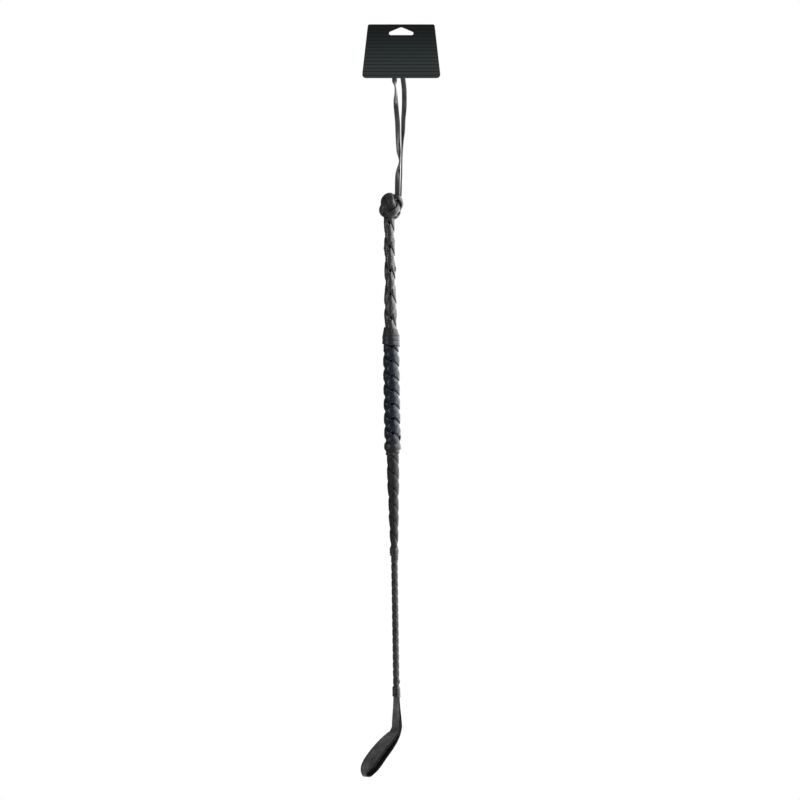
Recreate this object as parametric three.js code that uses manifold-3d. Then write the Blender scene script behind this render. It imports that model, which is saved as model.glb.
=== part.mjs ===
// Riding crop with a plaited leather shaft, a wrist lace and a folded keeper, hung from a blank header card.
// Millimetres, +Z up, front towards -Y. The origin is the middle of the card's hang slot.
// A station is a distance below the origin, measured along the crop's own leaning axis.

import * as THREE from "three";
import { mergeVertices } from "three/addons/utils/BufferGeometryUtils.js";
import Module from "manifold-3d";

const DEGREE = Math.PI / 180;
const TURN = 2 * Math.PI;
const CLEARANCE = 0.3; // between pieces that touch

// Wrist lace: a flat thong from the knot up round the pin and down again
const LACE_WIDTH = 5.2;
const LACE_THICKNESS = 1.5;
const LACE_BEVEL = 0.4;
const LACE_STEPS = 3; // sections between two points of the route
// [x, y, z, twist in degrees]; at no twist the wide face looks along Y
const LACE_ROUTE = [
  [-4.1, -0.6, -167.2, 0],
  [-4, -0.6, -158.5, 5],
  [-3.8, -0.6, -151, 25],
  [-3.1, -0.5, -145, 50],
  [-2.3, -0.3, -140.5, 75],
  [-1.6, 0, -136, 85],
  [-2, 0, -131, 70],
  [-2.7, 0, -125, 40],
  [-3.2, 0, -117, 35],
  [-3.5, -0.1, -107, 15],
  [-3.9, -0.2, -95, 0],
  [-4.7, -0.2, -86, 0],
  [-5.3, -0.1, -79, 5],
  [-5.7, 0, -72.5, 30],
  [-5.5, 0, -66, 60],
  [-5.9, 0, -58.5, 78],
  [-6.6, 0, -54.5, 60],
  [-7, 0, -50.8, 4],
  [-7, 0, -43, 0],
  [-7, 0, -36, 0],
  [-5.77, 0, -33.03, 0],
  [-2.8, 0, -31.8, 0],
  [0.17, 0, -33.03, 0],
  [1.4, 0, -36, 0],
  [1.4, 0, -46, 0],
  [2.3, 0, -53, 0],
  [3.1, 0.1, -61, 0],
  [3.3, 0.2, -72, 0],
  [3, 0.3, -82, 10],
  [2.3, 0.3, -92, 35],
  [2, 0.3, -104, 45],
  [1.4, 0.3, -114, 70],
  [0.9, 0.3, -125, 85],
  [0.6, 0.4, -137, 90],
  [0.4, 0.4, -148, 88],
  [0, 0.4, -158, 86],
  [-0.2, 0.4, -167.2, 84],
];
const LACE_END_DEPTH = -LACE_ROUTE[0][2]; // both ends stop here

// Pin between the card's leaves, in the bight of the lace
const PIN_X = -2.8;
const PIN_Z = -36;
const PIN_RADIUS = 1;
const PIN_SIDES = 12;

// Header card
const CARD_TOP_WIDTH = 69.7;
const CARD_BOTTOM_WIDTH = 82.6;
const CARD_ABOVE = 7.6; // from the slot's middle up to the fold
const CARD_BELOW = 48.7; // from the slot's middle down to the open edge
const CARD_TOP_CORNER = 2.4;
const CARD_BOTTOM_CORNER = 5;
const CARD_LEAF = 0.6;
const CARD_SLACK = 0.45; // from each leaf to the lace
const CARD_GAP = LACE_THICKNESS + 2 * CARD_SLACK;
const SLOT_WIDTH = 25.6;
const SLOT_BELOW = 3.8; // from the slot's middle down to its flat edge
const SLOT_ABOVE = 4.4; // from the slot's middle up to the top of its peak
const SLOT_END_RADIUS = 1.9;
const SLOT_PEAK_RADIUS = 4.4;

// Crop axis
const LEAN = 0.87 * DEGREE; // the tip leans towards +X
const AXIS_X = -12.75; // where the axis passes the knot's middle
const KNOT_HALF_HEIGHT = 14.5;
const LACE_GAP = 0.8; // from the lace's ends down to the knot
const KNOT_STATION = LACE_END_DEPTH + LACE_GAP + KNOT_HALF_HEIGHT;

// Core rod
const ROD_ABOVE_KNOT = 6.5; // from the knot's middle up to the rod's end
const ROD_TOP_STATION = KNOT_STATION - ROD_ABOVE_KNOT;
const ROD_TOP_RADIUS = 1.8;
const ROD_TIP_RADIUS = 1.2;
const ROD_SIDES = 16;

// Pommel knot and the core inside it
const CORE_CAP = 1.2; // over the rod's end
const CORE_BELOW = 5.7; // from the knot's middle down to the core's lower end
const CORE_LIP = 1.9; // the core is this much wider than the handle plait
const CORE_BEVEL = 2;
const CORE_TOP_STATION = ROD_TOP_STATION - CLEARANCE - CORE_CAP;
const CORE_BOTTOM_STATION = KNOT_STATION + CORE_BELOW;
const KNOT_SHELL = 3.2; // thinnest wall round the core
const KNOT_SHIFT = 2.3; // the knot sits off the axis, towards +X

// Plaits of four thongs, two wound each way. turn is the length of one full turn of a thong.
// lift holds [distance from the plait's start, stand-off from the rod] rows, and a wrap fills it.
const THONGS_EACH_WAY = 2;
const THONG_COVER = 0.72; // share of its lane that a thong fills
const PLAIT_GAP = 1; // between one plait's end and what comes next
const THONG_STOP_GAP = 0.02; // least room, in turns, between a thong's end and its first or last crossing
const HANDLE = {
  name: "handle",
  length: 128.2,
  turn: 50,
  thickness: 1.1,
  lift: [[0, 0.8], [83, 1.1], [95, 2.2], [108, 2.2], [115, 1.6], [120, 1.6], [128, 2.4]],
  wrap: "handle_wrap",
  wrapLength: 128.2,
  colour: 0x2b2b2d,
};
const GRIP = {
  name: "grip",
  length: 119,
  turn: 30,
  thickness: 1.6,
  lift: [[0, 2.1], [13, 2.2], [20, 3], [104, 3.1], [119, 2.3]],
  wrap: "grip_bolster",
  wrapLength: 119,
  colour: 0x23262d,
};
const MID = {
  name: "mid",
  length: 108,
  turn: 33,
  thickness: 0.9,
  lift: [[0, 2], [14, 2.4], [38, 2.3], [50, 1.4], [70, 1.4], [78, 0.8], [88, 0.7], [98, 0.1]],
  wrap: "mid_wrap",
  wrapLength: 88,
  colour: 0x28282a,
};
const LOWER = {
  name: "lower",
  length: 143,
  turn: 17,
  thickness: 0.75,
  lift: [[0, 0]],
  colour: 0x3a3a3c,
};
const PLAITS = [HANDLE, GRIP, MID, LOWER];
const ROUND_SIDES = 20;

// Each plait starts just below what is above it, and the keeper's root starts below the last one.
let nextStation = CORE_BOTTOM_STATION + 2 * CLEARANCE;
for (const plait of PLAITS) {
  plait.start = nextStation;
  plait.end = nextStation + plait.length;
  nextStation = plait.end + PLAIT_GAP;
}
const ROOT_TOP_STATION = nextStation;

// Windings over the plaits' ends. up and down are how far they reach over the piece above and below.
const TIES = [
  { name: "grip_top_tie", above: HANDLE, below: GRIP, up: 10, down: 14, wall: 1.2 },
  { name: "grip_end_tie", above: GRIP, below: MID, up: 8, down: 6, wall: 0.9 },
  { name: "mid_end_tie", above: MID, below: LOWER, up: 8, down: 4, wall: 0.5 },
  { name: "tip_whipping", above: LOWER, up: 6, down: 6, wall: 0.45 },
];
const TIE_SIDES = 24;

// Keeper: its root clamps the rod's tip, its loop is bent at the elbow
const ROOT_LENGTH = 40; // from the root's top to the elbow
const ELBOW_STATION = ROOT_TOP_STATION + ROOT_LENGTH;
const ROD_IN_ROOT = 30;
const ROD_TIP_STATION = ROOT_TOP_STATION + ROD_IN_ROOT;
const KEEPER_YAW = -45 * DEGREE; // turns the strip's width from +X towards -Y
const KEEPER_BEND = 50 * DEGREE; // swings the loop towards -X and -Y
const FLEX_CLOSES = 25 * DEGREE; // how much further the loop can bend
const KEEPER_LEATHER = 1.9;
const STRAP_HALF_WIDTH = 6.2; // at the elbow
const STRAP_HALF_THICKNESS = KEEPER_LEATHER + CLEARANCE / 2; // two leaves, one on the other
const FLEX_HALF_GAP = STRAP_HALF_THICKNESS * Math.tan((KEEPER_BEND + FLEX_CLOSES) / 2) + CLEARANCE / 2;
const ROOT_SIDES = 16;
const KEEPER_LENGTH = 66; // from the elbow to the fold
const KEEPER_DROOP = 3.4; // how far the fold hangs below a straight loop
const KEEPER_DROOP_START = 32; // from the elbow
const KEEPER_FOLD_RADIUS = 3.7;
// [distance from the elbow, half width]
const KEEPER_PLAN = [
  [1, STRAP_HALF_WIDTH], [7, 8], [15, 9.8], [24, 10.6], [KEEPER_LENGTH - 16, 10.8],
  [KEEPER_LENGTH - 9, 9.8], [KEEPER_LENGTH - 4, 7.8], [KEEPER_LENGTH, 5],
];
// [distance from the elbow, half thickness over both leaves]
const KEEPER_SWELL = [
  [2, STRAP_HALF_THICKNESS], [9, 2.7], [20, 3.5], [32, 4.1], [KEEPER_LENGTH - 20, 4.2],
  [KEEPER_LENGTH - 6, KEEPER_FOLD_RADIUS],
];
const LEAF_STATIONS = 10;
const FOLD_STATIONS = 6;

const wasm = await Module();
wasm.setup();

// Position-only copy with shared corners joined and flat faces dropped.
function bare(geometry) {
  const plain = new THREE.BufferGeometry();
  plain.setAttribute("position", geometry.attributes.position);
  plain.setIndex(geometry.index);
  const merged = mergeVertices(plain, 1e-4);
  const corners = Array.from(merged.index.array);
  const kept = [];
  for (let face = 0; face < corners.length; face += 3) {
    const [a, b, c] = corners.slice(face, face + 3);
    if (a !== b && b !== c && c !== a) kept.push(a, b, c);
  }
  merged.setIndex(kept);
  return facingOut(merged);
}

// Turns the faces over if the skin is inside out.
function facingOut(geometry) {
  const points = geometry.attributes.position;
  const index = geometry.index.array;
  const [a, b, c] = [new THREE.Vector3(), new THREE.Vector3(), new THREE.Vector3()];
  let volume = 0;
  for (let face = 0; face < index.length; face += 3) {
    a.fromBufferAttribute(points, index[face]);
    b.fromBufferAttribute(points, index[face + 1]);
    c.fromBufferAttribute(points, index[face + 2]);
    volume += a.dot(b.cross(c));
  }
  if (volume < 0) index.reverse();
  return geometry;
}

function toSolid(geometry) {
  const plain = bare(geometry);
  const vertProperties = new Float32Array(plain.attributes.position.array);
  const triVerts = new Uint32Array(plain.index.array);
  return new wasm.Manifold(new wasm.Mesh({ numProp: 3, vertProperties, triVerts }));
}

function toGeometry(solid) {
  const mesh = solid.getMesh();
  const geometry = new THREE.BufferGeometry();
  geometry.setAttribute("position", new THREE.BufferAttribute(mesh.vertProperties, 3));
  geometry.setIndex(new THREE.BufferAttribute(mesh.triVerts, 1));
  return geometry;
}

// Skins a row of closed sections. Point i faces point count-1-i, so the ends close in strips.
// Each flat face is split from its first corner, or the other way on the sides that crossed picks.
function loft(sections, crossed = () => false) {
  const count = sections[0].length;
  const end = (sections.length - 1) * count;
  const index = [];
  for (let row = 0; row < end; row += count) {
    for (let side = 0; side < count; side += 1) {
      const a = row + side;
      const b = row + ((side + 1) % count);
      if (crossed(side)) index.push(a, b, a + count, b, b + count, a + count);
      else index.push(a, b, b + count, a, b + count, a + count);
    }
  }
  for (let side = 0; side + 1 < count / 2; side += 1) {
    const [a, b, c, d] = [side, side + 1, count - 2 - side, count - 1 - side];
    index.push(b, a, d, b, d, c);
    index.push(end + a, end + b, end + c, end + a, end + c, end + d);
  }
  const geometry = new THREE.BufferGeometry();
  const positions = sections.flat().flatMap((point) => point.toArray());
  geometry.setAttribute("position", new THREE.Float32BufferAttribute(positions, 3));
  geometry.setIndex(index);
  return bare(geometry);
}

// Straight-line reading of rows that hold a place and a value first, held at both ends.
function readTable(table, place) {
  const above = table.findIndex((row) => row[0] >= place);
  if (above === 0) return table[0][1];
  if (above < 0) return table[table.length - 1][1];
  const [from, to] = [table[above - 1], table[above]];
  return from[1] + ((place - from[0]) / (to[0] - from[0])) * (to[1] - from[1]);
}

// Height of a station in the crop's own group.
function heightOf(station) {
  return KNOT_STATION - station;
}

// Lathe about the crop's axis through [radius, station] points.
function turned(outline, sides = ROUND_SIDES) {
  const points = outline.map(([radius, station]) => new THREE.Vector2(radius, heightOf(station)));
  return bare(new THREE.LatheGeometry(points, sides).rotateX(90 * DEGREE));
}

function extruded(shape, depth, curveSegments = 6) {
  const geometry = new THREE.ExtrudeGeometry(shape, { depth, bevelEnabled: false, curveSegments });
  return geometry.translate(0, 0, -depth / 2);
}

function rodRadius(station) {
  const share = (station - ROD_TOP_STATION) / (ROD_TIP_STATION - ROD_TOP_STATION);
  return ROD_TOP_RADIUS + share * (ROD_TIP_RADIUS - ROD_TOP_RADIUS);
}

function rodBore(station) {
  return rodRadius(station) + CLEARANCE;
}

// Underside of a plait's lower thongs.
function plaitInner(plait, station) {
  return rodBore(station) + readTable(plait.lift, station - plait.start);
}

function plaitOuter(plait, station) {
  return plaitInner(plait, station) + 2 * plait.thickness + CLEARANCE;
}

// A thong rises and falls by this much as it goes over and under.
function plaitWave(plait) {
  return (plait.thickness + CLEARANCE) / 2;
}

// The ends of a stretch of a plait and every place between them where its thickness turns.
function profileStations(plait, first, last) {
  const turns = plait.lift.map((row) => plait.start + row[0]);
  return [first, ...turns.filter((station) => station > first && station < last), last];
}

function coreRadius() {
  return plaitOuter(HANDLE, HANDLE.start) + CORE_LIP;
}

function knotRadius() {
  return coreRadius() + KNOT_SHELL + KNOT_SHIFT;
}

// Trapezoid with rounded corners, narrow end up.
function cardOutline() {
  const [top, bottom] = [CARD_TOP_WIDTH / 2, CARD_BOTTOM_WIDTH / 2];
  const corners = [[-bottom, -CARD_BELOW], [bottom, -CARD_BELOW], [top, CARD_ABOVE], [-top, CARD_ABOVE]]
    .map(([x, z]) => new THREE.Vector2(x, z));
  const shape = new THREE.Shape();
  corners.forEach((corner, i) => {
    const round = i < 2 ? CARD_BOTTOM_CORNER : CARD_TOP_CORNER;
    const before = corners[(i + 3) % 4].clone().sub(corner).setLength(round).add(corner);
    const after = corners[(i + 1) % 4].clone().sub(corner).setLength(round).add(corner);
    if (i === 0) shape.moveTo(before.x, before.y);
    else shape.lineTo(before.x, before.y);
    shape.quadraticCurveTo(corner.x, corner.y, after.x, after.y);
  });
  return shape;
}

// Low triangle with a flat lower edge, round ends and a round peak, joined by straight slopes.
function slotOutline() {
  const end = SLOT_WIDTH / 2 - SLOT_END_RADIUS;
  const low = SLOT_END_RADIUS - SLOT_BELOW;
  const peak = SLOT_ABOVE - SLOT_PEAK_RADIUS;
  const apart = Math.hypot(end, peak - low);
  const slope = Math.atan2(peak - low, end) + Math.asin((SLOT_PEAK_RADIUS - SLOT_END_RADIUS) / apart);
  const shape = new THREE.Shape();
  shape.absarc(end, low, SLOT_END_RADIUS, -TURN / 4, TURN / 4 - slope);
  shape.absarc(0, peak, SLOT_PEAK_RADIUS, TURN / 4 - slope, TURN / 4 + slope);
  shape.absarc(-end, low, SLOT_END_RADIUS, TURN / 4 + slope, (3 * TURN) / 4);
  return shape;
}

// The two leaves and the fold over them, seen from the side.
function leavesOutline() {
  const inner = CARD_GAP / 2;
  const outer = inner + CARD_LEAF;
  const foldCentre = CARD_ABOVE - outer;
  const shape = new THREE.Shape();
  shape.moveTo(outer, -CARD_BELOW);
  shape.lineTo(outer, foldCentre);
  shape.absarc(0, foldCentre, outer, 0, TURN / 2);
  shape.lineTo(-outer, -CARD_BELOW);
  shape.lineTo(-inner, -CARD_BELOW);
  shape.absarc(0, foldCentre, inner, TURN / 2, 0, true);
  shape.lineTo(inner, -CARD_BELOW);
  return shape;
}

function hangCard() {
  const sideways = new THREE.Matrix4().makeBasis(
    new THREE.Vector3(0, 1, 0), new THREE.Vector3(0, 0, 1), new THREE.Vector3(1, 0, 0));
  const upright = new THREE.Matrix4().makeRotationX(TURN / 4);
  const through = 3 * (CARD_GAP + 2 * CARD_LEAF);
  const leaves = toSolid(extruded(leavesOutline(), 2 * CARD_BOTTOM_WIDTH).applyMatrix4(sideways));
  const face = toSolid(extruded(cardOutline(), through).applyMatrix4(upright));
  const slot = toSolid(extruded(slotOutline(), through).applyMatrix4(upright));
  return toGeometry(leaves.intersect(face).subtract(slot));
}

function cardPin() {
  const pin = new THREE.CylinderGeometry(PIN_RADIUS, PIN_RADIUS, CARD_GAP - 2 * CLEARANCE, PIN_SIDES);
  return bare(pin.translate(PIN_X, 0, PIN_Z));
}

// Four points on each face of the thong, in pairs across its thickness.
function laceSection(centre, along, twist) {
  const flat = along.clone().cross(new THREE.Vector3(0, 1, 0)).normalize().applyAxisAngle(along, twist);
  const thick = along.clone().cross(flat);
  const [wide, high] = [LACE_WIDTH / 2, LACE_THICKNESS / 2];
  const face = [[-wide, high - LACE_BEVEL], [LACE_BEVEL - wide, high],
    [wide - LACE_BEVEL, high], [wide, high - LACE_BEVEL]];
  const back = face.map(([across, up]) => [across, -up]).reverse();
  return [...face, ...back].map(([across, up]) =>
    centre.clone().addScaledVector(flat, across).addScaledVector(thick, up));
}

function wristLoop() {
  const route = new THREE.CatmullRomCurve3(LACE_ROUTE.map(([x, y, z]) => new THREE.Vector3(x, y, z)));
  const twists = LACE_ROUTE.map((point, i) => [i, point[3]]);
  const spans = LACE_ROUTE.length - 1;
  const sections = [];
  for (let step = 0; step <= spans * LACE_STEPS; step += 1) {
    const share = step / (spans * LACE_STEPS);
    const twist = readTable(twists, share * spans) * DEGREE;
    sections.push(laceSection(route.getPoint(share), route.getTangent(share), twist));
  }
  return loft(sections);
}

// Hollow for the core, with the neck that the handle plait comes out of.
function knotHollow() {
  const wide = coreRadius() + CLEARANCE;
  const top = CORE_TOP_STATION - CLEARANCE;
  const bottom = CORE_BOTTOM_STATION + CLEARANCE;
  const neck = plaitOuter(HANDLE, HANDLE.start) + CLEARANCE;
  const open = KNOT_STATION + 2 * KNOT_HALF_HEIGHT;
  return turned([
    [0, top], [wide - CORE_BEVEL, top], [wide, top + CORE_BEVEL], [wide, bottom],
    [neck, bottom], [neck, open], [0, open],
  ]);
}

function pommelKnot() {
  const ball = new THREE.SphereGeometry(1, 24, 16).rotateX(TURN / 4);
  ball.scale(knotRadius(), knotRadius(), KNOT_HALF_HEIGHT).translate(KNOT_SHIFT, 0, 0);
  return toGeometry(toSolid(ball).subtract(toSolid(knotHollow())));
}

function knotCore() {
  const wide = coreRadius();
  const [top, bottom] = [CORE_TOP_STATION, CORE_BOTTOM_STATION];
  const bore = rodBore(ROD_TOP_STATION);
  const boreTop = ROD_TOP_STATION - CLEARANCE;
  return turned([
    [0, top], [wide - CORE_BEVEL, top], [wide, top + CORE_BEVEL], [wide, bottom - CORE_BEVEL],
    [wide - CORE_BEVEL, bottom], [bore, bottom], [bore, boreTop], [0, boreTop],
  ]);
}

function coreRod() {
  return turned([
    [0, ROD_TOP_STATION], [ROD_TOP_RADIUS, ROD_TOP_STATION],
    [ROD_TIP_RADIUS, ROD_TIP_STATION], [0, ROD_TIP_STATION],
  ], ROD_SIDES);
}

// Sleeve on the rod that fills the plait up to its thongs.
function wrapSleeve(plait) {
  const [first, last] = [plait.start, plait.start + plait.wrapLength];
  const outside = profileStations(plait, first, last)
    .map((station) => [plaitInner(plait, station) - CLEARANCE, station]);
  return turned([...outside, [rodBore(last), last], [rodBore(first), first], outside[0]]);
}

// A lane is a strip beside a thong, counted in turns. Over even crossings the value is +1, over odd ones -1.
function overUnder(along) {
  const lane = 1 / THONGS_EACH_WAY;
  const reach = (THONG_COVER * lane) / 2;
  const crossing = Math.round(along / lane);
  const past = Math.max(0, Math.abs(along - crossing * lane) - reach);
  return (crossing % 2 === 0 ? 1 : -1) * (1 - past / (lane / 2 - reach));
}

// Point of a thong: own is its place across the lane and along its place down the lane, both in turns.
function thongPoint(plait, hand, side, own, along, face) {
  const station = ((along - hand * own) / 2) * plait.turn;
  const angle = ((own + hand * along) / 2) * TURN;
  const middle = plaitOuter(plait, station) - plait.thickness / 2 - plaitWave(plait);
  const radius = middle + side * plaitWave(plait) * overUnder(along) + (face * plait.thickness) / 2;
  return new THREE.Vector3(radius * Math.cos(angle), radius * Math.sin(angle), heightOf(station));
}

// hand is +1 or -1 for the way the thong winds, and order counts the thongs that wind that way.
function thong(plait, hand, order) {
  const lane = 1 / THONGS_EACH_WAY;
  const reach = (THONG_COVER * lane) / 2;
  const middle = order * lane;
  const first = (2 * plait.start) / plait.turn + hand * middle + reach;
  const last = (2 * plait.end) / plait.turn + hand * middle - reach;
  const stops = [first];
  for (let crossing = Math.floor(first / lane); crossing * lane < last + lane; crossing += 1) {
    const near = [-reach, 0, reach].map((offset) => crossing * lane + offset);
    stops.push(...near.filter((stop) => stop > first + THONG_STOP_GAP && stop < last - THONG_STOP_GAP));
  }
  stops.push(last);
  const side = hand * (order % 2 === 0 ? 1 : -1);
  const across = [middle - reach, middle, middle + reach];
  const sections = stops.map((along) => [
    ...across.map((own) => thongPoint(plait, hand, side, own, along, 1)),
    ...across.map((own) => thongPoint(plait, hand, side, own, along, -1)).reverse(),
  ]);
  // every face is split along the plait, never round it, so that facets stay close to the round
  return loft(sections, (face) => (face < across.length) === (hand > 0));
}

function plaitMeshes(plait) {
  const meshes = [];
  for (const hand of [1, -1]) {
    for (let order = 0; order < THONGS_EACH_WAY; order += 1) {
      meshes.push(namedMesh(`${plait.name}_thong_${meshes.length + 1}`, thong(plait, hand, order), plait.colour));
    }
  }
  return meshes;
}

// Inner profile of a winding, clear of the pieces above and below.
function tieInside(tie) {
  const above = profileStations(tie.above, tie.above.end - tie.up, tie.above.end)
    .map((station) => [plaitOuter(tie.above, station), station]);
  const [next, last] = [tie.above.end + PLAIT_GAP, tie.above.end + PLAIT_GAP + tie.down];
  const below = tie.below
    ? profileStations(tie.below, next, last).map((station) => [plaitOuter(tie.below, station), station])
    : [next, last].map((station) => [rootHalfWidth(station), station]);
  return [...above, ...below].map(([radius, station]) => [radius + CLEARANCE, station]);
}

function tieRing(tie) {
  const inside = tieInside(tie);
  const outside = inside.map(([radius, station]) => [radius + tie.wall, station]).reverse();
  return turned([...inside, ...outside, inside[0]], TIE_SIDES);
}

// [share of the way down, half width, half thickness, squareness]: round at the neck, flat at the elbow
function rootTable() {
  const neck = plaitOuter(LOWER, LOWER.end);
  const roundRod = rodBore(ROD_TIP_STATION) + KEEPER_LEATHER;
  return [
    [0, neck, neck, 2],
    [0.21, neck + 0.3, neck, 2],
    [0.44, neck + 1, roundRod, 2.4],
    [0.68, STRAP_HALF_WIDTH - 1, roundRod - 0.3, 2.8],
    [0.86, STRAP_HALF_WIDTH - 0.4, STRAP_HALF_THICKNESS + 0.4, 3.6],
    [1, STRAP_HALF_WIDTH, STRAP_HALF_THICKNESS, 5],
  ];
}

function rootStation(share) {
  return ROOT_TOP_STATION + share * (ROOT_LENGTH - FLEX_HALF_GAP);
}

function rootHalfWidth(station) {
  return readTable(rootTable(), (station - ROOT_TOP_STATION) / (ROOT_LENGTH - FLEX_HALF_GAP));
}

// Section between an ellipse and a rectangle, in mirrored pairs across its thickness.
function rootSection([share, halfWidth, halfThickness, squareness]) {
  const section = [];
  for (let side = 0; side < ROOT_SIDES; side += 1) {
    const angle = ((side + 0.5) / ROOT_SIDES) * TURN;
    const [c, s] = [Math.cos(angle), Math.sin(angle)];
    const x = Math.sign(c) * halfWidth * Math.abs(c) ** (2 / squareness);
    const y = Math.sign(s) * halfThickness * Math.abs(s) ** (2 / squareness);
    section.push(new THREE.Vector3(x, y, ELBOW_STATION - rootStation(share)));
  }
  return section;
}

function keeperRoot() {
  const body = toSolid(loft(rootTable().map(rootSection)));
  const [above, depth] = [ROOT_TOP_STATION - CLEARANCE, ROD_TIP_STATION + CLEARANCE];
  const pocket = new THREE.CylinderGeometry(rodBore(above), rodBore(depth), depth - above, ROD_SIDES);
  pocket.rotateX(TURN / 4).translate(0, 0, ELBOW_STATION - (above + depth) / 2);
  return toGeometry(body.subtract(toSolid(pocket)));
}

function keeperDroop(distance) {
  const past = Math.max(0, distance - KEEPER_DROOP_START);
  return KEEPER_DROOP * (past / (KEEPER_LENGTH - KEEPER_DROOP_START)) ** 2;
}

// Middle of the leather from the elbow, out on the upper leaf, round the fold and back: [y, distance].
function keeperPath() {
  const foldCentre = KEEPER_LENGTH - KEEPER_FOLD_RADIUS;
  const path = [];
  for (let step = 0; step <= LEAF_STATIONS; step += 1) {
    const distance = FLEX_HALF_GAP + (step / LEAF_STATIONS) * (foldCentre - FLEX_HALF_GAP);
    path.push([readTable(KEEPER_SWELL, distance) - KEEPER_LEATHER / 2, distance]);
  }
  const upper = path.map(([half, distance]) => [keeperDroop(distance) - half, distance]);
  const lower = path.map(([half, distance]) => [keeperDroop(distance) + half, distance]).reverse();
  const fold = [];
  for (let step = 1; step < FOLD_STATIONS; step += 1) {
    const angle = (step / FOLD_STATIONS - 0.5) * (TURN / 2);
    const reach = KEEPER_FOLD_RADIUS - KEEPER_LEATHER / 2;
    fold.push([keeperDroop(foldCentre) + reach * Math.sin(angle), foldCentre + reach * Math.cos(angle)]);
  }
  return [...upper, ...fold, ...lower];
}

function keeperLoop() {
  const path = keeperPath().map(([y, distance]) => new THREE.Vector3(0, y, -distance));
  return loft(path.map((centre, i) => {
    const ahead = path[Math.min(i + 1, path.length - 1)];
    const behind = path[Math.max(i - 1, 0)];
    const along = ahead.clone().sub(behind).normalize();
    const thick = new THREE.Vector3(0, -along.z, along.y).setLength(KEEPER_LEATHER / 2);
    const wide = new THREE.Vector3(readTable(KEEPER_PLAN, -centre.z), 0, 0);
    return [
      centre.clone().sub(wide).add(thick), centre.clone().add(wide).add(thick),
      centre.clone().add(wide).sub(thick), centre.clone().sub(wide).sub(thick),
    ];
  }));
}

function namedMesh(name, geometry, color, roughness = 0.5) {
  const mesh = new THREE.Mesh(geometry, new THREE.MeshStandardMaterial({ color, roughness, metalness: 0 }));
  mesh.name = name;
  return mesh;
}

function cardGroup() {
  const group = new THREE.Group();
  group.add(namedMesh("hang_card", hangCard(), 0x25282b, 0.4));
  group.add(namedMesh("card_pin", cardPin(), 0x303030, 0.6));
  group.add(namedMesh("wrist_loop", wristLoop(), 0x2a2a2a));
  return group;
}

function keeperGroup() {
  const loop = namedMesh("keeper_loop", keeperLoop(), 0x343434, 0.6);
  loop.rotation.x = -KEEPER_BEND;
  const group = new THREE.Group();
  group.position.z = heightOf(ELBOW_STATION);
  group.rotation.z = KEEPER_YAW;
  group.add(namedMesh("keeper_root", keeperRoot(), 0x323232, 0.6), loop);
  return group;
}

function cropGroup() {
  const group = new THREE.Group();
  group.position.set(AXIS_X, 0, -KNOT_STATION);
  group.rotation.y = -LEAN;
  group.add(namedMesh("pommel_knot", pommelKnot(), 0x2b2b2c));
  group.add(namedMesh("knot_core", knotCore(), 0x6b4a2f, 0.8));
  group.add(namedMesh("core_rod", coreRod(), 0xd8d2b8, 0.4));
  PLAITS.filter((plait) => plait.wrap).forEach((plait) =>
    group.add(namedMesh(plait.wrap, wrapSleeve(plait), 0x29292a, 0.9)));
  PLAITS.forEach((plait) => group.add(...plaitMeshes(plait)));
  TIES.forEach((tie) => group.add(namedMesh(tie.name, tieRing(tie), 0x242426)));
  group.add(keeperGroup());
  return group;
}

const ridingCrop = new THREE.Group();
ridingCrop.add(cardGroup(), cropGroup());

export default ridingCrop;
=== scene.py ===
"""Riding crop: the looks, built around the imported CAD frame. Metres, +Z up, front towards -Y."""

import math
import random

import bpy
from mathutils import Matrix, Vector


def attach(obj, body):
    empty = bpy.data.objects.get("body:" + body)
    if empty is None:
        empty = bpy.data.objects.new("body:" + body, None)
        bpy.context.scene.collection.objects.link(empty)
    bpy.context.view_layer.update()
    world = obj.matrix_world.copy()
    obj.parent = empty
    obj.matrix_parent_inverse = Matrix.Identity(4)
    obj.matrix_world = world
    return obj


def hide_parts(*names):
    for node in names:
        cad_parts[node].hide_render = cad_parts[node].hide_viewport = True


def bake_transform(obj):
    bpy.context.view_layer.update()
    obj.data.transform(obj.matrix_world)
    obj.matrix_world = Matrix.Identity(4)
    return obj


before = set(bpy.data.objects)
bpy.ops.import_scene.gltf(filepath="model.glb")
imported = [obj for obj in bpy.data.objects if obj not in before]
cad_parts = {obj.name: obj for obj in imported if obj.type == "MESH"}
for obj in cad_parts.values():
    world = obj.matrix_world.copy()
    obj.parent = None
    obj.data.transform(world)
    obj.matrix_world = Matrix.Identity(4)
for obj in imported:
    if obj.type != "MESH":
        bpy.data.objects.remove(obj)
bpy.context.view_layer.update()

# Lengths in the tables below are in millimetres
MM = 0.001
TURN = 2 * math.pi
CLEARANCE = 0.3  # between neighbouring solids of the CAD model

# The crop's axis, as in the CAD model. Stations are distances down it from the hang slot's level.
LEAN = math.radians(0.87)
AXIS_X = -12.75
KNOT_STATION = 182.5
ELBOW_STATION = 731
CROP = Matrix.Translation((AXIS_X * MM, 0, -KNOT_STATION * MM)) @ Matrix.Rotation(-LEAN, 4, "Y")

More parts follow.
